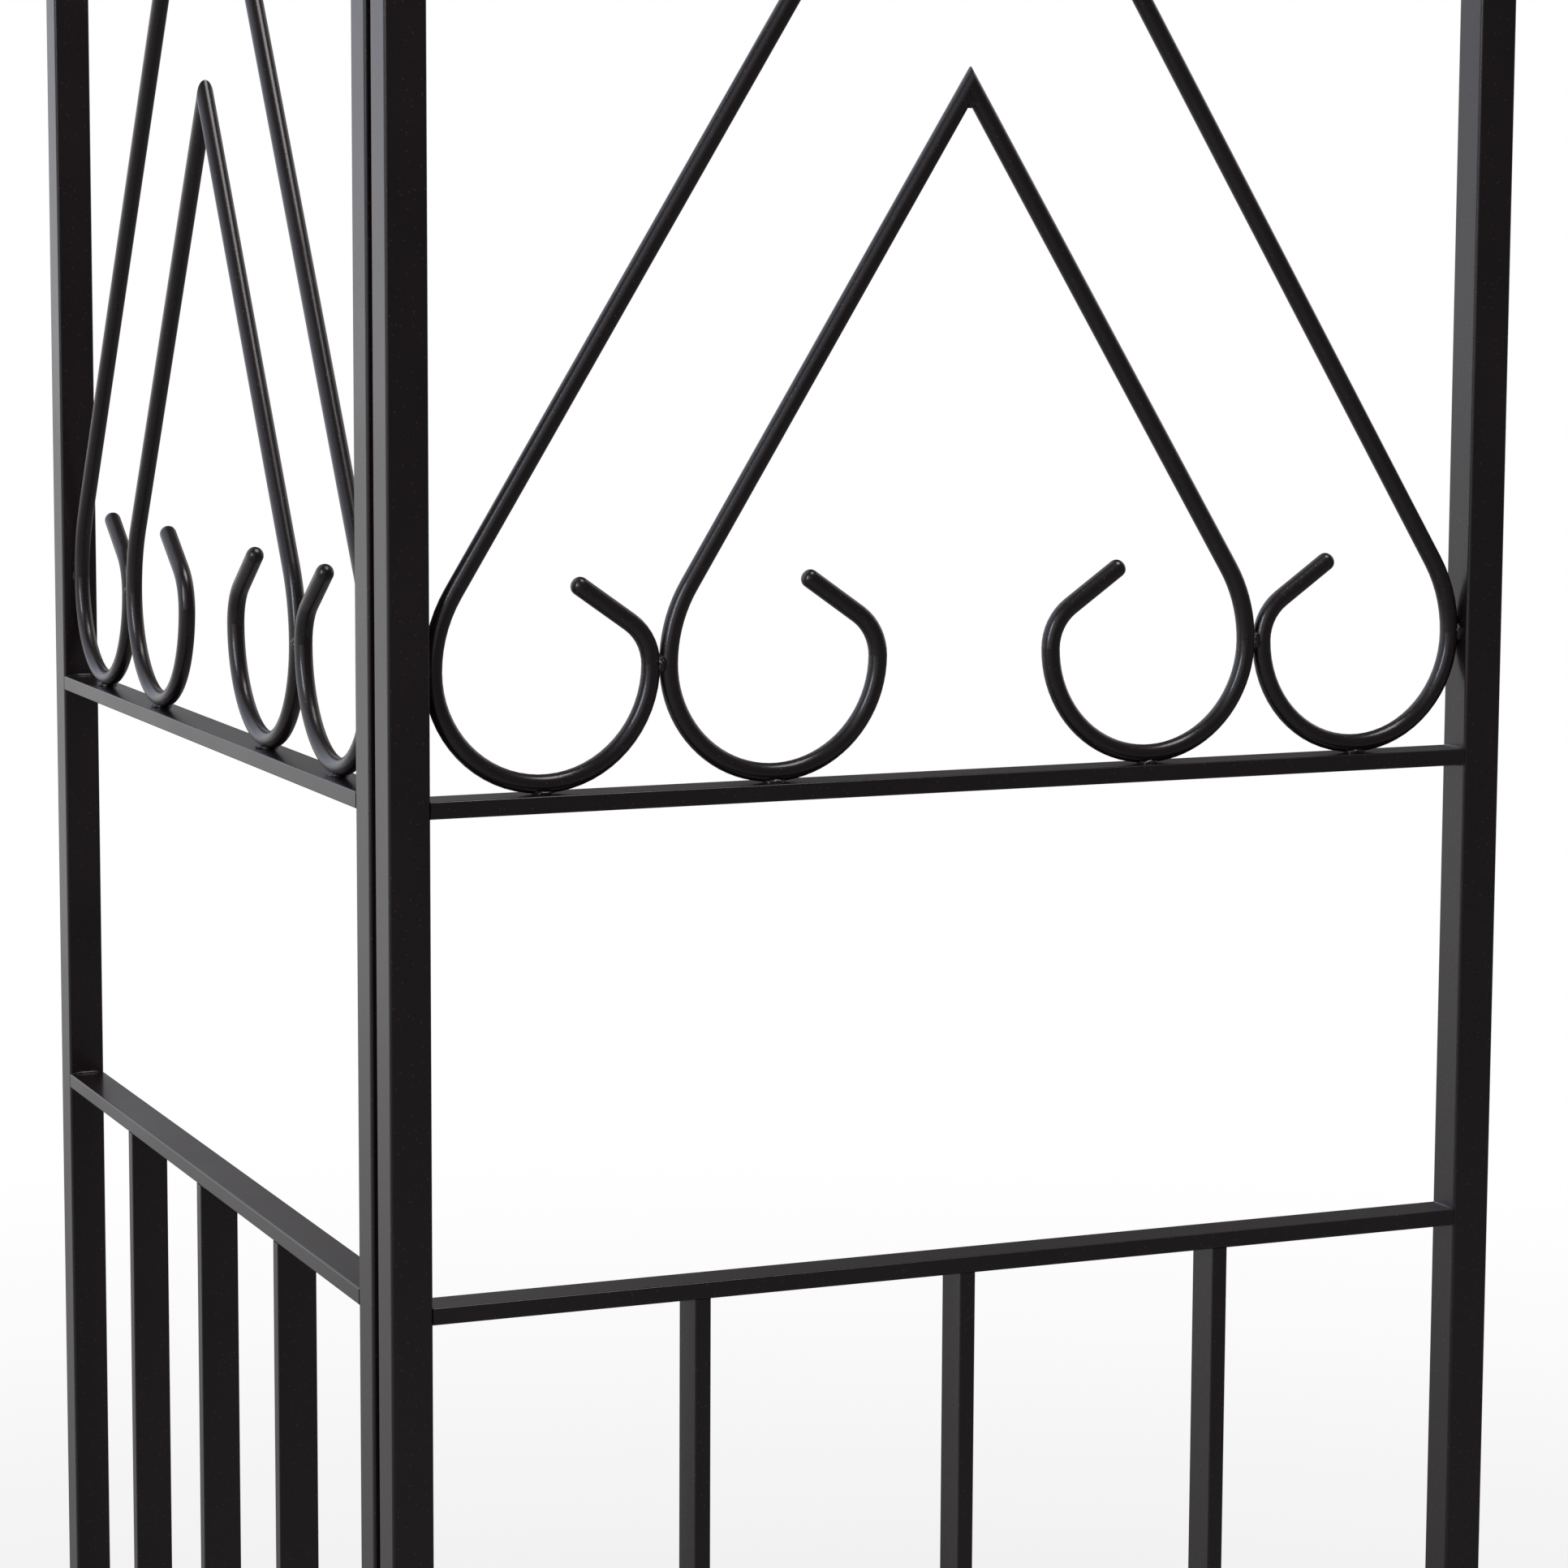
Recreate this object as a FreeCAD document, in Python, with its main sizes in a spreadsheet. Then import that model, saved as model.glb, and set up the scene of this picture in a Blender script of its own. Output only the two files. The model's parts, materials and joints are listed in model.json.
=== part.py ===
import FreeCAD, Part
import math
import os

import Sketcher
from FreeCAD import Placement, Rotation, Vector

# Corner leg of a garden gazebo: two welded steel panels that meet at a right angle.
# Each panel has two square posts, four flat rails, three flat balusters and four
# scrolls of round bar. The front panel runs along +X, the side panel along +Y.
# The origin is the middle of the corner foot plate's underside. Sizes are in mm.

DIMENSIONS = [
    ("leg_height", 2000, "ground to the top of the post caps"),
    ("panel_width", 724, "outer width of one panel over its two posts"),
    ("corner_gap", 10, "gap between the two corner posts"),
    ("post_size", 25, "outer side of the square posts"),
    ("post_wall", 1.2, "wall of the posts"),
    ("post_corner", 2, "outer corner radius of the posts"),
    ("flat_depth", 25, "wide side of the flat tube of rails and balusters"),
    ("flat_thickness", 10, "narrow side of the flat tube"),
    ("flat_wall", 1, "wall of the flat tube"),
    ("flat_corner", 1, "outer corner radius of the flat tube"),
    ("bottom_rail_height", 90, "ground to the top of the bottom rail"),
    ("hand_rail_height", 950, "ground to the top of the hand rail"),
    ("scroll_rail_height", 1240, "ground to the top of the scroll rail"),
    ("top_rail_drop", 105, "top of the leg to the top of the top rail"),
    ("rod_diameter", 11, "round bar of the scrolls"),
    ("loop_diameter", 143, "outer diameter of a scroll's loop"),
    ("shoulder_radius", 85, "middle radius of the bend between loop and long straight"),
    ("curl_radius", 30, "middle radius of the tighter bend before the tip"),
    ("curl_angle", 55, "degrees turned by the tighter bend"),
    ("tip_length", 42.5, "straight stretch that ends in the tip"),
    ("foot_thickness", 4, "thickness of the foot plates"),
    ("foot_margin", 15, "foot plate beyond the posts, along the anchor holes' sides"),
    ("foot_reach", 30, "foot plate beyond the posts, on the two sides with a hole"),
    ("foot_corner", 6, "corner radius of the foot plates"),
    ("anchor_hole", 9, "diameter of the anchor holes"),
    ("anchor_offset", 17, "post face to the middle of an anchor hole"),
    ("cap_thickness", 3, "head of a post cap"),
    ("cap_plug_length", 12, "part of the cap inside the post"),
    ("cap_clearance", 0.15, "gap between the cap's plug and the post, each side"),
    ("cap_rounding", 1, "rounding of the cap's upper edges"),
    ("beam_hole", 8.5, "diameter of the roof beam's bolt holes"),
    ("beam_hole_drop", 45, "top of the leg to the roof beam's bolt holes"),
    ("bolt_diameter", 6, "bolts that join the two corner posts"),
    ("bolt_hole", 6.6, "holes for those bolts"),
    ("bolt_projection", 3, "bolt beyond its nut"),
    ("bolt_head_width", 10, "across flats, head and nut alike"),
    ("bolt_head_height", 4, "height of a bolt's head"),
    ("nut_height", 5, "height of a nut"),
    ("nut_clearance", 0.05, "gap between bolt and nut, each side"),
    ("spacer_diameter", 14, "sleeve between the corner posts"),
    ("lower_bolt_height", 300, "ground to the lower corner bolt"),
    ("upper_bolt_drop", 200, "top of the leg to the upper corner bolt"),
]

BALUSTERS = 3
TIP_ROUNDING = 0.45  # share of the bar's diameter, almost a half ball

doc = FreeCAD.newDocument("GazeboCornerLeg")
sheet = doc.addObject("Spreadsheet::Sheet", "Sizes")
for row, (alias, size, note) in enumerate(DIMENSIONS, start=1):
    sheet.set(f"A{row}", note)
    sheet.set(f"B{row}", str(size))
    sheet.setAlias(f"B{row}", alias)
doc.recompute()


def cell(alias):
    return f"Sizes.{alias}"


def worth(expression):
    """The number that an expression comes to with the sheet's present sizes."""
    result = sheet.evalExpression(expression)
    return float(getattr(result, "Value", result))


POST = cell("post_size")
PANEL = cell("panel_width")
ROD = cell("rod_diameter")
LOOP = cell("loop_diameter")
INNER_WIDTH = f"({PANEL} - 2 * {POST})"
CORNER_LENGTH = f"(2 * {POST} + {cell('corner_gap')})"
POST_LENGTH = f"({cell('leg_height')} - {cell('cap_thickness')} - {cell('foot_thickness')})"
CORNER_X = f"(-{POST} / 2)"
CORNER_Y = f"(-{CORNER_LENGTH} / 2)"
SIDE_START = f"({CORNER_Y} + {POST} + {cell('corner_gap')})"
MID_DEPTH = f"({POST} / 2)"
FLAT_INSET = f"(({POST} - {cell('flat_depth')}) / 2)"
BEAM_HOLE_HEIGHT = f"({cell('leg_height')} - {cell('beam_hole_drop')} - {cell('foot_thickness')})"
TOP_RAIL_HEIGHT = f"({cell('leg_height')} - {cell('top_rail_drop')})"
RAIL_TOPS = {
    "bottom_rail": cell("bottom_rail_height"),
    "hand_rail": cell("hand_rail_height"),
    "scroll_rail": cell("scroll_rail_height"),
    "top_rail": TOP_RAIL_HEIGHT,
}
BOLT_HEIGHTS = {
    "lower": cell("lower_bolt_height"),
    "upper": f"({cell('leg_height')} - {cell('upper_bolt_drop')})",
}

# Scrolls: the loop opens through a wider shoulder into a long straight stretch. On an
# outer scroll the outer edge of that stretch ends on the panel's middle line, under
# the top rail, which gives all the scrolls their lean.
SHOULDER = cell("shoulder_radius")
LOOP_RADIUS = f"(({LOOP} - {ROD}) / 2)"
LOOP_HEIGHT = f"({LOOP} / 2)"
SHOULDER_MIDDLE = f"({SHOULDER} - {LOOP_RADIUS})"
OUTER_REACH = f"({INNER_WIDTH} / 2 - {LOOP} / 2)"
INNER_REACH = f"({INNER_WIDTH} / 2 - 3 * {LOOP} / 2)"
LEAN_ACROSS = f"({OUTER_REACH} - {SHOULDER_MIDDLE})"
LEAN_UP = (
    f"({TOP_RAIL_HEIGHT} - {cell('flat_thickness')}"
    f" - {cell('scroll_rail_height')} - {LOOP_HEIGHT})"
)
LEAN = (
    f"(atan({LEAN_ACROSS} / {LEAN_UP})"
    f" + asin(({SHOULDER} + {ROD} / 2) / hypot({LEAN_ACROSS}; {LEAN_UP})))"
)

nodes = []


def attach(sketch, body, role):
    plane = next(f for f in body.Origin.OriginFeatures if f.Role == role)
    sketch.AttachmentSupport = [(plane, "")]
    sketch.MapMode = "FlatFace"


def bind(sketch, constraint, expression, name):
    index = sketch.addConstraint(constraint)
    sketch.renameConstraint(index, name)
    sketch.setExpression(f"Constraints.{name}", expression)


def add_rectangle(sketch, label, left, low, width, height):
    """A closed rectangle whose lower left corner stands at (left, low)."""
    x, y, w, h = (worth(e) for e in (left, low, width, height))
    corners = [Vector(x, y), Vector(x + w, y), Vector(x + w, y + h), Vector(x, y + h)]
    first = sketch.GeometryCount
    for index in range(4):
        sketch.addGeometry(Part.LineSegment(corners[index], corners[(index + 1) % 4]))
    for index in range(4):
        after = first + (index + 1) % 4
        sketch.addConstraint(Sketcher.Constraint("Coincident", first + index, 2, after, 1))
    for line in (first, first + 2):
        sketch.addConstraint(Sketcher.Constraint("Horizontal", line))
    for line in (first + 1, first + 3):
        sketch.addConstraint(Sketcher.Constraint("Vertical", line))
    bind(sketch, Sketcher.Constraint("DistanceX", -1, 1, first, 1, x), left, f"{label}_left")
    bind(sketch, Sketcher.Constraint("DistanceY", -1, 1, first, 1, y), low, f"{label}_low")
    bind(sketch, Sketcher.Constraint("DistanceX", first, 1, first, 2, w), width, f"{label}_width")
    bind(
        sketch, Sketcher.Constraint("DistanceY", first + 1, 1, first + 1, 2, h), height,
        f"{label}_height",
    )


def add_circle(sketch, label, across, up, diameter):
    x, y, d = (worth(e) for e in (across, up, diameter))
    ring = sketch.addGeometry(Part.Circle(Vector(x, y), Vector(0, 0, 1), d / 2))
    bind(sketch, Sketcher.Constraint("DistanceX", -1, 1, ring, 3, x), across, f"{label}_across")
    bind(sketch, Sketcher.Constraint("DistanceY", -1, 1, ring, 3, y), up, f"{label}_up")
    bind(sketch, Sketcher.Constraint("Diameter", ring, d), diameter, f"{label}_diameter")


def new_body(name):
    body = doc.addObject("PartDesign::Body", name)
    body.Label = name
    nodes.append(body)
    return body


def new_sketch(body, title, role):
    sketch = body.newObject("Sketcher::SketchObject", f"{body.Name}_{title}")
    attach(sketch, body, role)
    return sketch


def pad(body, sketch, length, title="pad"):
    feature = body.newObject("PartDesign::Pad", f"{body.Name}_{title}")
    feature.Profile = sketch
    feature.setExpression("Length", length)
    doc.recompute()
    return feature


def drill(body, sketch, title):
    """Cut the sketch's outlines right through the body, and make sure metal went."""
    before = body.Shape.Volume
    pocket = body.newObject("PartDesign::Pocket", f"{body.Name}_{title}")
    pocket.Profile = sketch
    pocket.Type = "ThroughAll"
    pocket.SideType = "Symmetric"
    doc.recompute()
    if body.Shape.Volume >= before:
        raise RuntimeError(f"{body.Label}: {title} cut nothing")


def round_edges(body, base, chosen, radius, title="rounding"):
    """Fillet the edges of base that pass the test called chosen."""
    names = [f"Edge{i}" for i, e in enumerate(base.Shape.Edges, start=1) if chosen(e)]
    fillet = body.newObject("PartDesign::Fillet", f"{body.Name}_{title}")
    fillet.Base = (base, names)
    fillet.setExpression("Radius", radius)
    doc.recompute()
    return fillet


def place(item, panel, along, depth, height, turned=False):
    """Stand an item in a panel: along its width, into its depth, above the ground."""
    angle = (0 if panel == "front" else 90) + (180 if turned else 0)
    item.Placement = Placement(Vector(), Rotation(Vector(0, 0, 1), angle))
    if panel == "front":
        item.setExpression("Placement.Base.x", f"{CORNER_X} + {along}")
        item.setExpression("Placement.Base.y", f"{CORNER_Y} + {depth}")
    else:
        item.setExpression("Placement.Base.x", f"{CORNER_X} + {POST} - {depth}")
        item.setExpression("Placement.Base.y", f"{SIDE_START} + {along}")
    item.setExpression("Placement.Base.z", height)


def tube(name, role, width, height, wall, length, corner):
    """Rectangular tube with one corner of its section on the body's origin."""
    body = new_body(name)
    section = new_sketch(body, "section", role)
    add_rectangle(section, "outside", "0", "0", width, height)
    add_rectangle(
        section, "inside", wall, wall, f"{width} - 2 * {wall}", f"{height} - 2 * {wall}"
    )
    run = pad(body, section, length)
    lines = {"XY_Plane": Vector(0, 0, 1), "YZ_Plane": Vector(1, 0, 0)}
    along = lines[role]
    far = (worth(width), worth(height))

    def on_outside(edge):
        points = [vertex.Point for vertex in edge.Vertexes]
        if abs((points[-1] - points[0]).dot(along)) < worth(length) / 2:
            return False
        across = (points[0].x, points[0].y) if role == "XY_Plane" else (points[0].y, points[0].z)
        return all(min(abs(c), abs(c - f)) < worth(wall) / 2 for c, f in zip(across, far))

    round_edges(body, run, on_outside, corner)
    return body


def make_post(panel, name, along, bolted):
    """Square post with a roof beam hole near its top, and corner bolt holes if bolted."""
    post = tube(
        f"{panel}_{name}", "XY_Plane", POST, POST, cell("post_wall"), POST_LENGTH,
        cell("post_corner"),
    )
    face = new_sketch(post, "beam_hole", "XZ_Plane")
    add_circle(face, "beam", MID_DEPTH, BEAM_HOLE_HEIGHT, cell("beam_hole"))
    drill(post, face, "beam_bore")
    if bolted:
        side = new_sketch(post, "bolt_holes", "XZ_Plane" if panel == "front" else "YZ_Plane")
        for level, height in BOLT_HEIGHTS.items():
            above_foot = f"({height} - {cell('foot_thickness')})"
            add_circle(side, level, MID_DEPTH, above_foot, cell("bolt_hole"))
        drill(post, side, "bolt_bores")
    place(post, panel, along, "0", cell("foot_thickness"))


def make_cap(panel, name, along):
    """Plastic cap: a square head with rounded edges, and a plug that enters the post."""
    cap = new_body(f"{panel}_{name}_cap")
    outline = new_sketch(cap, "outline", "XY_Plane")
    add_rectangle(outline, "head", "0", "0", POST, POST)
    head = pad(cap, outline, cell("cap_thickness"))
    cornered = round_edges(
        cap, head, lambda e: abs(e.Vertexes[0].Z - e.Vertexes[-1].Z) > 0.5,
        cell("post_corner"), "corners",
    )
    top = worth(cell("cap_thickness"))
    round_edges(
        cap, cornered, lambda e: min(v.Z for v in e.Vertexes) > top - 0.1,
        cell("cap_rounding"), "upper_edges",
    )
    inset = f"({cell('post_wall')} + {cell('cap_clearance')})"
    across = f"({POST} - 2 * {inset})"
    stub = new_sketch(cap, "stub", "XY_Plane")
    add_rectangle(stub, "plug", inset, inset, across, across)
    plug = pad(cap, stub, cell("cap_plug_length"), "plug")
    plug.Reversed = True
    place(cap, panel, along, "0", f"({cell('leg_height')} - {cell('cap_thickness')})")


def make_rail(panel, name, top):
    """Flat tube between the posts, flush with both their faces, its top at a height."""
    rail = tube(
        f"{panel}_{name}", "YZ_Plane", cell("flat_depth"), cell("flat_thickness"),
        cell("flat_wall"), INNER_WIDTH, cell("flat_corner"),
    )
    place(rail, panel, POST, FLAT_INSET, f"({top} - {cell('flat_thickness')})")


def make_baluster(panel, number):
    """Upright flat tube between the bottom rail and the hand rail."""
    height = f"({cell('hand_rail_height')} - {cell('flat_thickness')}"
    height += f" - {cell('bottom_rail_height')})"
    baluster = tube(
        f"{panel}_baluster_{number}", "XY_Plane", cell("flat_thickness"), cell("flat_depth"),
        cell("flat_wall"), height, cell("flat_corner"),
    )
    bay = f"({INNER_WIDTH} - {BALUSTERS} * {cell('flat_thickness')}) / {BALUSTERS + 1}"
    along = f"({POST} + {number} * {bay} + {number - 1} * {cell('flat_thickness')})"
    place(baluster, panel, along, FLAT_INSET, cell("bottom_rail_height"))


def scroll_path(sketch, end_x, end_z):
    """Middle line of a scroll: a long lean, shoulder, loop, tighter bend and tip.

    The loop's middle is above the sketch's origin. Returns the tip's place.
    """
    lean, close = math.radians(worth(LEAN)), math.radians(worth(cell("curl_angle")))
    radius, height, curl = (worth(e) for e in (LOOP_RADIUS, LOOP_HEIGHT, cell("curl_radius")))
    up = Vector(0, 0, 1)
    wide = Part.Circle(Vector(worth(SHOULDER_MIDDLE), height), up, worth(SHOULDER))
    loop = Part.Circle(Vector(0, height), up, radius)
    bend = Part.Circle(Vector(radius - curl, height), up, curl)
    start, bend_end = wide.value(math.pi - lean), bend.value(close)
    tip = bend_end + Vector(-math.sin(close), math.cos(close)) * worth(cell("tip_length"))
    pieces = [
        Part.LineSegment(Vector(worth(end_x), worth(end_z)), start),
        Part.ArcOfCircle(wide, math.pi - lean, math.pi),
        Part.ArcOfCircle(loop, math.pi, 2 * math.pi),
        Part.ArcOfCircle(bend, 0, close),
        Part.LineSegment(bend_end, tip),
    ]
    straight, shoulder, ring, curl_arc, tip_line = (sketch.addGeometry(g) for g in pieces)
    for before, after in ((straight, shoulder), (shoulder, ring), (ring, curl_arc),
                          (curl_arc, tip_line)):
        sketch.addConstraint(Sketcher.Constraint("Tangent", before, 2, after, 1))
    sketch.addConstraint(Sketcher.Constraint("PointOnObject", ring, 3, -2))
    for end in (1, 2):
        sketch.addConstraint(Sketcher.Constraint("Horizontal", ring, 3, ring, end))
    tip_across = f"{cell('tip_length')} * sin({cell('curl_angle')})"
    tip_up = f"{cell('tip_length')} * cos({cell('curl_angle')})"
    limits = [
        ("loop_height", LOOP_HEIGHT, "DistanceY", -1, 1, ring, 3),
        ("loop_radius", LOOP_RADIUS, "Radius", ring),
        ("shoulder_radius", SHOULDER, "Radius", shoulder),
        ("curl_radius", cell("curl_radius"), "Radius", curl_arc),
        ("tip_across", tip_across, "DistanceX", tip_line, 2, tip_line, 1),
        ("tip_up", tip_up, "DistanceY", tip_line, 1, tip_line, 2),
        ("end_across", end_x, "DistanceX", -1, 1, straight, 1),
        ("end_up", end_z, "DistanceY", -1, 1, straight, 1),
    ]
    for name, expression, kind, *where in limits:
        bind(sketch, Sketcher.Constraint(kind, *where, worth(expression)), expression, name)
    return Vector(tip.x, 0, tip.y)


def make_scroll(panel, number, along, reach, turned):
    """Round bar bent to a scroll, mitred on the panel's middle line."""
    scroll = new_body(f"{panel}_scroll_{number}")
    end_x = f"({reach} + {ROD})"
    across = f"({end_x} - {SHOULDER_MIDDLE} + {SHOULDER} / cos({LEAN}))"
    end_z = f"({LOOP_HEIGHT} + {across} / tan({LEAN}))"
    path = new_sketch(scroll, "path", "XZ_Plane")
    tip = scroll_path(path, end_x, end_z)
    section = new_sketch(scroll, "section", "XY_Plane")
    section.AttachmentOffset = Placement(Vector(), Rotation(Vector(0, 1, 0), worth(LEAN)))
    section.setExpression("AttachmentOffset.Base.x", end_x)
    section.setExpression("AttachmentOffset.Base.z", end_z)
    section.setExpression("AttachmentOffset.Rotation.Angle", LEAN)
    ring = section.addGeometry(Part.Circle(Vector(), Vector(0, 0, 1), worth(ROD) / 2))
    section.addConstraint(Sketcher.Constraint("Coincident", ring, 3, -1, 1))
    bind(section, Sketcher.Constraint("Diameter", ring, worth(ROD)), ROD, "thickness")
    doc.recompute()
    bar = scroll.newObject("PartDesign::AdditivePipe", f"{scroll.Name}_bar")
    bar.Profile = section
    bar.Spine = (path, [f"Edge{i + 1}" for i in range(path.GeometryCount)])
    doc.recompute()
    near = worth(ROD) / 4
    round_edges(
        scroll, bar, lambda e: e.isClosed() and (e.CenterOfMass - tip).Length < near,
        f"{TIP_ROUNDING} * {ROD}", "tip",
    )
    beyond = new_sketch(scroll, "beyond_middle", "XZ_Plane")
    low = f"({end_z} - 4 * {ROD})"
    add_rectangle(beyond, "waste", reach, low, f"(3 * {ROD})", f"(6 * {ROD})")
    drill(scroll, beyond, "mitre")
    place(scroll, panel, along, MID_DEPTH, cell("scroll_rail_height"), turned)


def make_scrolls(panel):
    outer = f"({POST} + {LOOP} / 2)"
    inner = f"({POST} + 3 * {LOOP} / 2)"
    make_scroll(panel, 1, outer, OUTER_REACH, False)
    make_scroll(panel, 2, inner, INNER_REACH, False)
    make_scroll(panel, 3, f"({PANEL} - {inner})", INNER_REACH, True)
    make_scroll(panel, 4, f"({PANEL} - {outer})", OUTER_REACH, True)


def make_foot(name, panel, start, run):
    """Foot plate under posts that cover a run of the panel's width, with two anchor holes.

    The holes stand on both sides of the panel, in line with the middle of the run.
    """
    foot = new_body(name)
    margin, reach = cell("foot_margin"), cell("foot_reach")
    outline = new_sketch(foot, "outline", "XY_Plane")
    width, depth = f"({run} + 2 * {margin})", f"({POST} + 2 * {reach})"
    add_rectangle(outline, "plate", "0", "0", width, depth)
    plate = pad(foot, outline, cell("foot_thickness"))
    round_edges(
        foot, plate, lambda e: abs(e.Vertexes[0].Z - e.Vertexes[-1].Z) > 0.5,
        cell("foot_corner"), "corners",
    )
    holes = new_sketch(foot, "anchors", "XY_Plane")
    offset = f"({reach} - {cell('anchor_offset')})"
    add_circle(holes, "outer", f"({width} / 2)", offset, cell("anchor_hole"))
    add_circle(holes, "inner", f"({width} / 2)", f"({depth} - {offset})", cell("anchor_hole"))
    drill(foot, holes, "anchor_holes")
    place(foot, panel, f"({start} - {margin})", f"(-{reach})", "0")


def part_object(kind, name, **sizes):
    """A primitive whose properties are bound to expressions."""
    item = doc.addObject(kind, name)
    for prop, expression in sizes.items():
        item.setExpression(prop, expression)
    return item


def turn_to_y(item, y, height):
    """Point a primitive's own axis along +Y, in line with the corner posts' middles."""
    item.Placement = Placement(Vector(), Rotation(Vector(1, 0, 0), -90))
    item.setExpression("Placement.Base.y", y)
    item.setExpression("Placement.Base.z", height)


def make_corner_fixings(level, height):
    """Bolt, nut and sleeve that hold the two corner posts a gap apart."""
    radius = f"{cell('bolt_diameter')} / 2"
    hexagon = f"{cell('bolt_head_width')} / 2 / cos(30)"
    back = f"({CORNER_Y} + {CORNER_LENGTH})"
    head = part_object(
        "Part::Prism", f"bolt_head_{level}", Circumradius=hexagon,
        Height=cell("bolt_head_height"),
    )
    turn_to_y(head, f"{CORNER_Y} - {cell('bolt_head_height')}", height)
    shank_length = f"{CORNER_LENGTH} + {cell('nut_height')} + {cell('bolt_projection')}"
    shank = part_object(
        "Part::Cylinder", f"bolt_shank_{level}", Radius=radius, Height=shank_length
    )
    turn_to_y(shank, CORNER_Y, height)
    bolt = doc.addObject("Part::Fuse", f"corner_bolt_{level}")
    bolt.Base, bolt.Tool = head, shank
    blank = part_object(
        "Part::Prism", f"nut_blank_{level}", Circumradius=hexagon, Height=cell("nut_height")
    )
    turn_to_y(blank, back, height)
    nut_bore = part_object(
        "Part::Cylinder", f"nut_bore_{level}",
        Radius=f"{radius} + {cell('nut_clearance')}", Height=cell("nut_height"),
    )
    turn_to_y(nut_bore, back, height)
    nut = doc.addObject("Part::Cut", f"corner_nut_{level}")
    nut.Base, nut.Tool = blank, nut_bore
    sleeve = part_object(
        "Part::Cylinder", f"sleeve_{level}", Radius=f"{cell('spacer_diameter')} / 2",
        Height=cell("corner_gap"),
    )
    turn_to_y(sleeve, f"{CORNER_Y} + {POST}", height)
    sleeve_bore = part_object(
        "Part::Cylinder", f"sleeve_bore_{level}", Radius=f"{cell('bolt_hole')} / 2",
        Height=cell("corner_gap"),
    )
    turn_to_y(sleeve_bore, f"{CORNER_Y} + {POST}", height)
    spacer = doc.addObject("Part::Cut", f"corner_spacer_{level}")
    spacer.Base, spacer.Tool = sleeve, sleeve_bore
    for item in (bolt, nut, spacer):
        item.Label = item.Name
        nodes.append(item)


def make_panel(panel):
    far = f"({PANEL} - {POST})"
    for name, along, bolted in (("corner_post", "0", True), ("end_post", far, False)):
        make_post(panel, name, along, bolted)
        make_cap(panel, name, along)
    for rail, top in RAIL_TOPS.items():
        make_rail(panel, rail, top)
    for number in range(1, BALUSTERS + 1):
        make_baluster(panel, number)
    make_scrolls(panel)
    make_foot(f"{panel}_foot", panel, far, POST)


def write_nodes():
    """Refuse a failed document, then write one STEP file for each node."""
    for item in doc.Objects:
        if {"Invalid", "Error"} & set(item.State):
            raise RuntimeError(f"{item.Label} failed: {item.State}")
    for node in nodes:
        if node.Shape.isNull() or not node.Shape.isValid() or not node.Shape.Solids:
            raise RuntimeError(f"{node.Label} has no sound solid")
    os.makedirs("parts", exist_ok=True)
    for node in nodes:
        node.Shape.exportStep(f"parts/{node.Label}.step")


for panel in ("front", "side"):
    make_panel(panel)
make_foot("corner_foot", "side", f"(-{POST} - {cell('corner_gap')})", CORNER_LENGTH)
for level, height in BOLT_HEIGHTS.items():
    make_corner_fixings(level, height)
doc.recompute()
write_nodes()
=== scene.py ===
import bpy
import bmesh
import json
import math
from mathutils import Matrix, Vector, noise


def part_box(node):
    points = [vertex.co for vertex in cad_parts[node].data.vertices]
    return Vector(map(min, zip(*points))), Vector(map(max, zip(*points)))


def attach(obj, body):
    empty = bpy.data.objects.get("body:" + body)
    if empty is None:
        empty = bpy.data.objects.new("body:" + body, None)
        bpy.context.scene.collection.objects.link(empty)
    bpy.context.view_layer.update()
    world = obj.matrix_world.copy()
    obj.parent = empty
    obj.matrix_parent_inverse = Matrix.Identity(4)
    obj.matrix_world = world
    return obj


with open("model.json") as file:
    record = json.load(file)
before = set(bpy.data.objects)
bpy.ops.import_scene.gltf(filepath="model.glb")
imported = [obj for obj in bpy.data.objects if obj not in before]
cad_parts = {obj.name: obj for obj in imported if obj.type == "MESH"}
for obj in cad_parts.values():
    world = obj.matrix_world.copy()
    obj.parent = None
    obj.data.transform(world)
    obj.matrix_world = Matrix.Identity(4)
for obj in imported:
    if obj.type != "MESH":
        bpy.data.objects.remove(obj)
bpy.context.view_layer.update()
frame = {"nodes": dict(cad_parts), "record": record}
nodes = frame["nodes"]
panels = {"front": 0, "side": 1}   # the axis that each panel runs along: 0 is x, 1 is y
print("frame loaded:", len(nodes), "nodes")


# small helpers for shaders

def startMaterial(name):
    material = bpy.data.materials.new(name)
    material.use_nodes = True
    tree = material.node_tree
    shader = next(n for n in tree.nodes if n.type == "BSDF_PRINCIPLED")
    return material, tree, shader


def addNode(tree, kind, **settings):
    node = tree.nodes.new(kind)
    for name, value in settings.items():
        if name in node.inputs:
            node.inputs[name].default_value = value
        else:
            setattr(node, name, value)
    return node


def join(tree, source, output, target, socket):
    tree.links.new(source.outputs[output], target.inputs[socket])


def noiseOn(tree, coords, scale, detail, rough=0.5):
    texture = addNode(tree, "ShaderNodeTexNoise", Scale=scale, Detail=detail, Roughness=rough)
    join(tree, coords, "Object", texture, "Vector")
    return texture


def mapped(tree, source, output, low, high, toLow, toHigh):
    ranger = addNode(tree, "ShaderNodeMapRange")
    for socket, value in (("From Min", low), ("From Max", high),
                          ("To Min", toLow), ("To Max", toHigh)):
        ranger.inputs[socket].default_value = value
    join(tree, source, output, ranger, "Value")
    return ranger


mixColour = {"first": 6, "second": 7, "result": 2}    # the colour mixer's colour sockets


def blended(tree, factor, output, first, second):
    mixer = addNode(tree, "ShaderNodeMix", data_type="RGBA")
    mixer.inputs[mixColour["first"]].default_value = (*first, 1)
    mixer.inputs[mixColour["second"]].default_value = (*second, 1)
    join(tree, factor, output, mixer, 0)
    return mixer


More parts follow.
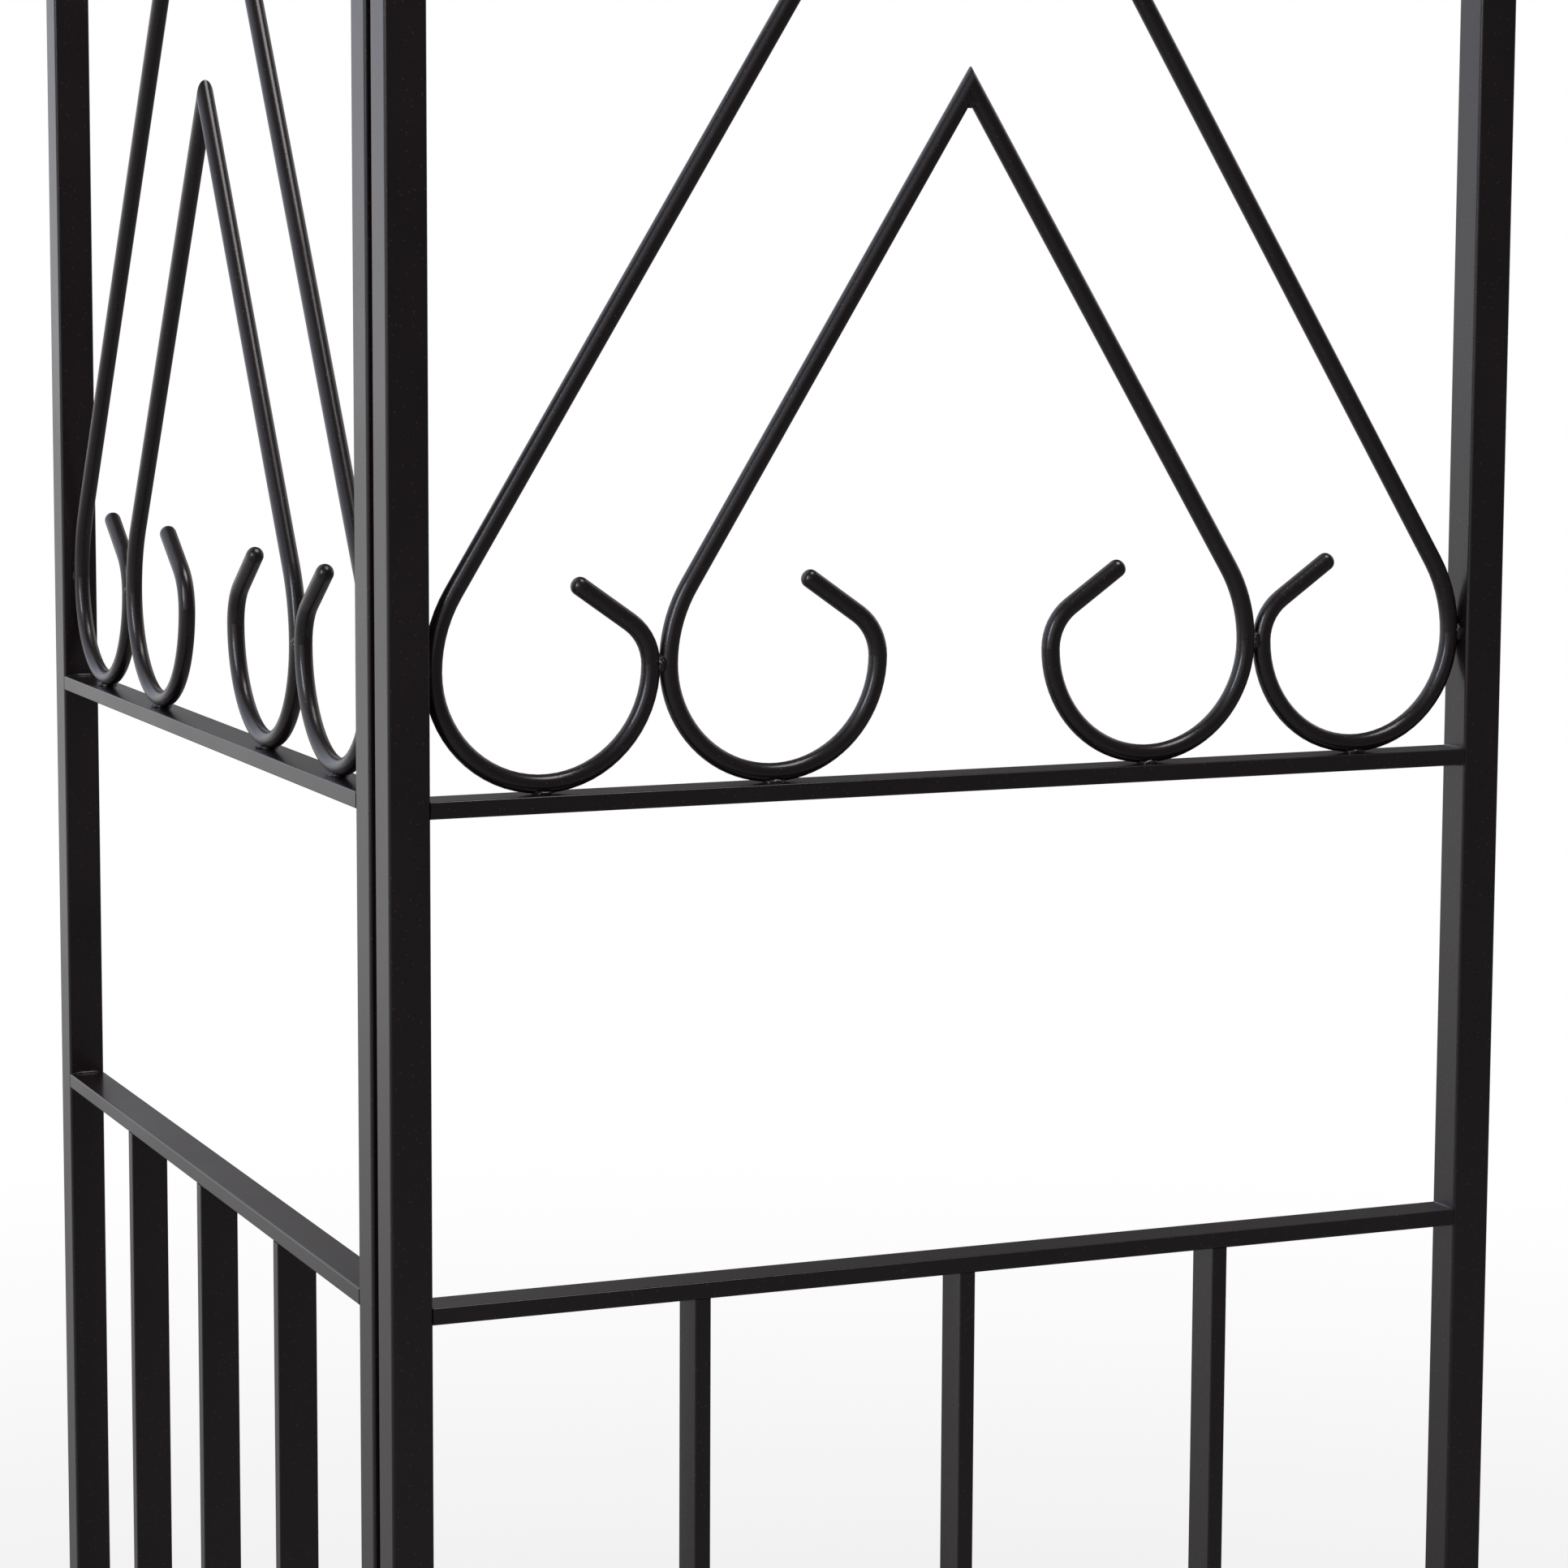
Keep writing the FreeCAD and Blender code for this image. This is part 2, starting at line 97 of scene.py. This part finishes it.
def shadersMixed(tree, share, output, first, second, target):
    mixer = addNode(tree, "ShaderNodeMixShader")
    join(tree, share, output, mixer, "Fac")
    join(tree, first, 0, mixer, 1)
    join(tree, second, 0, mixer, 2)
    join(tree, mixer, 0, target, "Surface")


# finishes

powder = {
    "dark": (0.0106, 0.0058, 0.0068),
    "light": (0.0158, 0.0094, 0.0104),
    "speckWarm": (0.120, 0.055, 0.050), "speckCool": (0.050, 0.060, 0.095),
    "roughLow": 0.27, "roughHigh": 0.36,
    "specular": 0.50, "ior": 1.5, "metal": 0.0,
    "coat": 0.45, "coatRough": 0.12,      # the thin clear skin over the pigment
    # slow change of tone and gloss along a post; every scale is in cycles per metre
    "mottle": 9.0, "mottleDetail": 4.0, "mottleRough": 0.6,
    "toneSpan": (0.3, 0.7), "glossSpan": (0.25, 0.75),
    "peel": 420.0, "peelDetail": 2.0,       # orange peel of the baked coat
    "grain": 1700.0, "grainDetail": 1.0,    # finest texture
    "grainSpan": (0.2, 0.8), "grainGloss": 0.03,
    "speckScale": 250.0, "speckSize": 0.17,
    "peelDepth": 0.00006, "grainDepth": 0.00002, "speckDepth": 0.00008,
}


def powderCoat(name, values):
    material, tree, shader = startMaterial(name)
    coords = addNode(tree, "ShaderNodeTexCoord")
    mottle = noiseOn(tree, coords, values["mottle"], values["mottleDetail"], values["mottleRough"])
    peel = noiseOn(tree, coords, values["peel"], values["peelDetail"])
    grain = noiseOn(tree, coords, values["grain"], values["grainDetail"])
    specks = addNode(tree, "ShaderNodeTexVoronoi", Scale=values["speckScale"])
    join(tree, coords, "Object", specks, "Vector")
    speckMask = mapped(tree, specks, "Distance", values["speckSize"], 0.0, 0.0, 1.0)
    toneMask = mapped(tree, mottle, "Fac", *values["toneSpan"], 0.0, 1.0)
    tone = blended(tree, toneMask, "Result", values["dark"], values["light"])
    hue = addNode(tree, "ShaderNodeSeparateColor")
    join(tree, specks, "Color", hue, "Color")
    flake = blended(tree, hue, "Red", values["speckWarm"], values["speckCool"])
    paint = addNode(tree, "ShaderNodeMix", data_type="RGBA")
    join(tree, speckMask, "Result", paint, 0)
    join(tree, tone, mixColour["result"], paint, mixColour["first"])
    join(tree, flake, mixColour["result"], paint, mixColour["second"])
    join(tree, paint, mixColour["result"], shader, "Base Color")
    slow = mapped(tree, mottle, "Fac", *values["glossSpan"],
                  values["roughLow"], values["roughHigh"])
    fine = mapped(tree, grain, "Fac", *values["grainSpan"],
                  -values["grainGloss"], values["grainGloss"])
    gloss = addNode(tree, "ShaderNodeMath", operation="ADD")
    join(tree, slow, "Result", gloss, 0)
    join(tree, fine, "Result", gloss, 1)
    join(tree, gloss, "Value", shader, "Roughness")
    before = None
    for source, output, depth in ((peel, "Fac", "peelDepth"), (grain, "Fac", "grainDepth"),
                                  (speckMask, "Result", "speckDepth")):
        bump = addNode(tree, "ShaderNodeBump", Strength=1.0, Distance=values[depth])
        join(tree, source, output, bump, "Height")
        if before:
            join(tree, before, "Normal", bump, "Normal")
        before = bump
    join(tree, before, "Normal", shader, "Normal")
    for socket, key in (("Specular IOR Level", "specular"), ("IOR", "ior"),
                        ("Metallic", "metal"), ("Coat Weight", "coat"),
                        ("Coat Roughness", "coatRough")):
        shader.inputs[socket].default_value = values[key]
    return material


coat = powderCoat("powderCoat", powder)

capPlastic = powderCoat("capPlastic", {
    **powder,
    "dark": (0.009, 0.009, 0.009), "light": (0.014, 0.014, 0.014),
    "speckWarm": (0.02, 0.02, 0.02), "speckCool": (0.02, 0.02, 0.02),
    "roughLow": 0.46, "roughHigh": 0.58, "coat": 0.0,
    "peel": 900.0, "peelDepth": 0.00004,
})

zincPlate = powderCoat("zincPlate", {
    **powder,
    "dark": (0.33, 0.34, 0.35), "light": (0.46, 0.47, 0.48),
    "speckWarm": (0.52, 0.50, 0.44), "speckCool": (0.42, 0.46, 0.52),
    "roughLow": 0.26, "roughHigh": 0.42, "coat": 0.0, "metal": 1.0,
    "mottle": 160.0, "speckScale": 700.0, "speckSize": 0.3, "peelDepth": 0.00002,
})

finishes = {"powder_coat": coat, "cap_plastic": capPlastic, "zinc_steel": zincPlate}
slotOf = {s["node"]: s["material_slot"] for s in frame["record"]["subparts"]}
for name, piece in nodes.items():
    for slot in piece.material_slots:
        slot.material = finishes[slotOf[name]]
print("finishes set")


# weld beads

beads = {
    "seamRadius": 0.0013,      # thin bead where tubes meet
    "footRadius": 0.00182,     # heavier bead around the feet of the posts
    "seamInset": 0.0020,       # a bead stops short of the tube's corners
    # half sizes of the tacks: along the panel, across it, up
    "railTack": (0.0070, 0.0062, 0.0026), "railRise": 0.00052,
    "loopTack": (0.0036, 0.0053, 0.0060),
    "crotchTack": (0.0052, 0.0046, 0.0060), "crotchRise": 0.0036,
    "apexTack": (0.00832, 0.00506, 0.0021),
    "seamFacets": (12, 16), "tackFacets": (28, 28),
    "ripple": 0.20, "rippleScale": 420.0,
    "ridge": 0.10, "ridgePitch": 0.0016,    # the ridges that each drop of metal leaves
}
up = Vector((0, 0, 1))


def place(panel, along, depth, height):
    return Vector((along, depth, height)) if panel == "front" else Vector((depth, along, height))


def axes(panel):
    x, y = Vector((1, 0, 0)), Vector((0, 1, 0))
    return (x, y) if panel == "front" else (y, x)


# an egg of weld metal, ridged along its length; each axis is a direction and a half size

def addBead(mesh, middle, lengthways, sideways, upwards, facets):
    made = bmesh.ops.create_uvsphere(mesh, u_segments=facets[0], v_segments=facets[1], radius=1.0)
    for vertex in made["verts"]:
        side, rise, length = vertex.co
        along = lengthways[0] * length * lengthways[1]
        around = sideways[0] * side * sideways[1] + upwards[0] * rise * upwards[1]
        ridge = abs(math.sin(math.pi * length * lengthways[1] / beads["ridgePitch"]))
        wave = noise.noise((middle + along + around) * beads["rippleScale"])
        vertex.co = middle + along + around * (1 + beads["ripple"] * wave + beads["ridge"] * ridge)


def seam(mesh, start, end, sideA, sideB, radius):
    run = end - start
    addBead(mesh, (start + end) / 2, (run.normalized(), run.length / 2),
            (sideA, radius), (sideB, radius), beads["seamFacets"])


def tack(mesh, panel, middle, sizes, upright):
    run, across = axes(panel)
    long, wide, tall = sizes
    ridged, other = ((up, tall), (run, long)) if upright else ((run, long), (up, tall))
    addBead(mesh, middle, ridged, (across, wide), other, beads["tackFacets"])


def finishMesh(name, mesh):
    bmesh.ops.recalc_face_normals(mesh, faces=mesh.faces)
    data = bpy.data.meshes.new(name)
    mesh.to_mesh(data)
    mesh.free()
    data.polygons.foreach_set("use_smooth", [True] * len(data.polygons))
    piece = bpy.data.objects.new(name, data)
    bpy.context.scene.collection.objects.link(piece)
    piece.data.materials.append(coat)
    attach(piece, "root")


def spanOf(node, panel):
    low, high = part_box(node)
    run = panels[panel]
    across = 1 - run
    return {"from": low[run], "to": high[run], "near": low[across], "far": high[across],
            "bottom": low[2], "top": high[2]}


# beads across both ends of every rail and baluster

def tubeWelds(panel):
    mesh = bmesh.new()
    run = axes(panel)[0]
    inset = beads["seamInset"]
    tubes = ["bottom_rail", "hand_rail", "scroll_rail", "top_rail",
             "baluster_1", "baluster_2", "baluster_3"]
    for tube in tubes:
        span = spanOf(f"{panel}_{tube}", panel)
        for along in (span["from"], span["to"]):
            for height in (span["bottom"], span["top"]):
                seam(mesh, place(panel, along, span["near"] + inset, height),
                     place(panel, along, span["far"] - inset, height),
                     run, up, beads["seamRadius"])
    finishMesh(f"{panel}TubeWelds", mesh)


# tacks under the loops, between them and the posts, in the notch of each point and at the top

def scrollWelds(panel):
    mesh = bmesh.new()
    spans = [spanOf(f"{panel}_scroll_{number}", panel) for number in (1, 2, 3, 4)]
    rail = spanOf(f"{panel}_scroll_rail", panel)
    head = spanOf(f"{panel}_top_rail", panel)
    loop = spans[1]["from"] - spans[0]["from"]
    middle = (spans[0]["near"] + spans[0]["far"]) / 2
    bar = spans[0]["far"] - spans[0]["near"]
    lefts = [spans[0]["from"], spans[1]["from"], spans[2]["to"] - loop, spans[3]["to"] - loop]
    for left in lefts:
        tack(mesh, panel, place(panel, left + loop / 2, middle, rail["top"] + beads["railRise"]),
             beads["railTack"], False)
    belly = rail["top"] + loop / 2
    for along in (lefts[0], lefts[1], lefts[3], lefts[3] + loop):
        tack(mesh, panel, place(panel, along, middle, belly), beads["loopTack"], True)
    centre = (rail["from"] + rail["to"]) / 2
    lean = math.atan2((spans[0]["to"] - spans[0]["from"]), (spans[0]["top"] - belly))
    for number in (0, 1):
        crotch = spans[number]["top"] - bar / math.sin(lean) + beads["crotchRise"]
        tack(mesh, panel, place(panel, centre, middle, crotch), beads["crotchTack"], True)
    tack(mesh, panel, place(panel, centre, middle, head["bottom"]), beads["apexTack"], False)
    finishMesh(f"{panel}ScrollWelds", mesh)


# a bead along each side of the posts, where they stand on their plates

def footWelds():
    mesh = bmesh.new()
    radius, inset = beads["footRadius"], beads["seamInset"]
    for name in ("front_corner_post", "front_end_post", "side_corner_post", "side_end_post"):
        low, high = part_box(name)
        for axis, side in ((0, 1), (1, 0)):
            outward = Vector((0, 0, 0))
            outward[side] = 1
            for edge in (low[side], high[side]):
                start, end = Vector(low), Vector(low)
                start[axis], end[axis] = low[axis] + inset, high[axis] - inset
                start[side] = end[side] = edge
                seam(mesh, start, end, outward, up, radius)
    finishMesh("footWelds", mesh)


for panel in panels:
    tubeWelds(panel)
    scrollWelds(panel)
footWelds()
print("welds made")


# floor, light and camera

stageSet = {
    "floorSize": 60.0, "floorColour": (0.36, 0.345, 0.335),
    "floorRough": 0.95, "floorSpecular": 0.05,
    # seen directly, the floor goes from pale grey to white between these distances, in metres
    "shadowReach": (0.8, 5.0), "shadowMix": 0.77,
    # light that a window throws on the floor: direction, distances it grows between, strength
    "spillSide": (-0.62, 0.74, 0.0),
    "spillReach": (0.6, 7.0), "spill": 0.62, "spillColour": (0.95, 0.95, 0.94),
    # bright walls around the object: direction, where the glow starts and is full, strength
    "walls": (
        ((-0.62, 0.74, 0.26), 0.45, 0.92, 0.90),
        ((-0.74, -0.64, 0.20), 0.70, 0.97, 0.45),
        ((0.90, 0.38, 0.22), 0.82, 0.99, 0.55),
    ),
    "glowDim": 0.10,
    # the first wall turns cool between these heights of the direction
    "coolRise": (-0.05, 0.10),
    "glowWarm": (1.0, 0.97, 0.97), "glowCool": (0.78, 0.84, 1.0),
    "softboxes": {
        "stripLeft": {"spot": (-4.2, -2.4, 3.2), "aim": (0.2, 0.2, 1.3), "size": (0.9, 2.6),
                      "power": 75, "colour": (0.80, 0.89, 1.0)},
        "overhead": {"spot": (1.1, -0.8, 5.0), "aim": (0.2, 0.3, 0.8), "size": (1.6, 1.6),
                     "power": 45, "colour": (1.0, 0.99, 0.97)},
    },
}


def makeFloor():
    mesh = bmesh.new()
    bmesh.ops.create_grid(mesh, x_segments=1, y_segments=1, size=stageSet["floorSize"] / 2)
    data = bpy.data.meshes.new("floor")
    mesh.to_mesh(data)
    mesh.free()
    floor = bpy.data.objects.new("floor", data)
    bpy.context.scene.collection.objects.link(floor)
    material, tree, shader = startMaterial("floorPaint")
    shader.inputs["Base Color"].default_value = (*stageSet["floorColour"], 1)
    shader.inputs["Roughness"].default_value = stageSet["floorRough"]
    shader.inputs["Specular IOR Level"].default_value = stageSet["floorSpecular"]
    coords = addNode(tree, "ShaderNodeTexCoord")
    toWindow = addNode(tree, "ShaderNodeVectorMath", operation="DOT_PRODUCT")
    join(tree, coords, "Object", toWindow, 0)
    toWindow.inputs[1].default_value = stageSet["spillSide"]
    spill = mapped(tree, toWindow, "Value", *stageSet["spillReach"], 0.0, stageSet["spill"])
    shader.inputs["Emission Color"].default_value = (*stageSet["spillColour"], 1)
    join(tree, spill, "Result", shader, "Emission Strength")
    reach = addNode(tree, "ShaderNodeVectorMath", operation="LENGTH")
    join(tree, coords, "Object", reach, 0)
    fade = mapped(tree, reach, "Value", *stageSet["shadowReach"], stageSet["shadowMix"], 1.0)
    fade.interpolation_type = "SMOOTHSTEP"
    rays = addNode(tree, "ShaderNodeLightPath")
    share = addNode(tree, "ShaderNodeMath", operation="MULTIPLY")
    join(tree, fade, "Result", share, 0)
    join(tree, rays, "Is Camera Ray", share, 1)
    white = addNode(tree, "ShaderNodeEmission")
    output = next(n for n in tree.nodes if n.type == "OUTPUT_MATERIAL")
    shadersMixed(tree, share, "Value", shader, white, output)
    data.materials.append(material)


def makeWorld():
    world = bpy.data.worlds.new("studio")
    world.use_nodes = True
    bpy.context.scene.world = world
    tree = world.node_tree
    glow = next(n for n in tree.nodes if n.type == "BACKGROUND")
    output = next(n for n in tree.nodes if n.type == "OUTPUT_WORLD")
    coords = addNode(tree, "ShaderNodeTexCoord")
    lobes = []
    for side, start, full, strength in stageSet["walls"]:
        facing = addNode(tree, "ShaderNodeVectorMath", operation="DOT_PRODUCT")
        join(tree, coords, "Generated", facing, 0)
        facing.inputs[1].default_value = side
        lobe = mapped(tree, facing, "Value", start, full, 0.0, strength)
        lobe.interpolation_type = "SMOOTHSTEP"
        lobes.append(lobe)
    total = addNode(tree, "ShaderNodeValue")
    total.outputs["Value"].default_value = stageSet["glowDim"]
    for lobe in lobes:
        summed = addNode(tree, "ShaderNodeMath", operation="ADD")
        join(tree, total, "Value", summed, 0)
        join(tree, lobe, "Result", summed, 1)
        total = summed
    join(tree, total, "Value", glow, "Strength")
    parts = addNode(tree, "ShaderNodeSeparateXYZ")
    join(tree, coords, "Generated", parts, "Vector")
    height = mapped(tree, parts, "Z", *stageSet["coolRise"], 0.0, 1.0)
    coolness = addNode(tree, "ShaderNodeMath", operation="MULTIPLY")
    join(tree, height, "Result", coolness, 0)
    join(tree, lobes[0], "Result", coolness, 1)
    tint = blended(tree, coolness, "Value", stageSet["glowWarm"], stageSet["glowCool"])
    join(tree, tint, mixColour["result"], glow, "Color")
    sky = addNode(tree, "ShaderNodeBackground")
    sky.inputs["Color"].default_value = (1, 1, 1, 1)
    rays = addNode(tree, "ShaderNodeLightPath")
    shadersMixed(tree, rays, "Is Camera Ray", glow, sky, output)


def softbox(name, spot, aim, size, power, colour):
    light = bpy.data.lights.new(name, "AREA")
    light.shape = "RECTANGLE"
    light.size, light.size_y = size
    light.energy = power
    light.color = colour
    box = bpy.data.objects.new(name, light)
    box.location = spot
    box.rotation_euler = (Vector(aim) - Vector(spot)).to_track_quat("-Z", "Y").to_euler()
    box.visible_camera = False
    bpy.context.scene.collection.objects.link(box)


makeFloor()
makeWorld()
for name, values in stageSet["softboxes"].items():
    softbox(name, **values)
print("stage set")

camera = {
    "eye": (-0.75756, -2.27076, 1.56103),
    "yaw": 0.3730, "pitch": -0.1158,
    "lens": 97.961, "sensor": 36.0, "shiftX": 0.1118, "shiftY": -0.0399,
    "near": 0.05, "far": 200.0,
}
lens = bpy.data.cameras.new("camera")
lens.lens = camera["lens"]
lens.sensor_width = camera["sensor"]
lens.shift_x, lens.shift_y = camera["shiftX"], camera["shiftY"]
lens.clip_start, lens.clip_end = camera["near"], camera["far"]
eye = bpy.data.objects.new("camera", lens)
eye.location = camera["eye"]
eye.rotation_euler = (math.pi / 2 + camera["pitch"], 0, -camera["yaw"])
bpy.context.scene.collection.objects.link(eye)
bpy.context.scene.camera = eye
bpy.context.scene.view_settings.view_transform = "Standard"
print("camera placed")
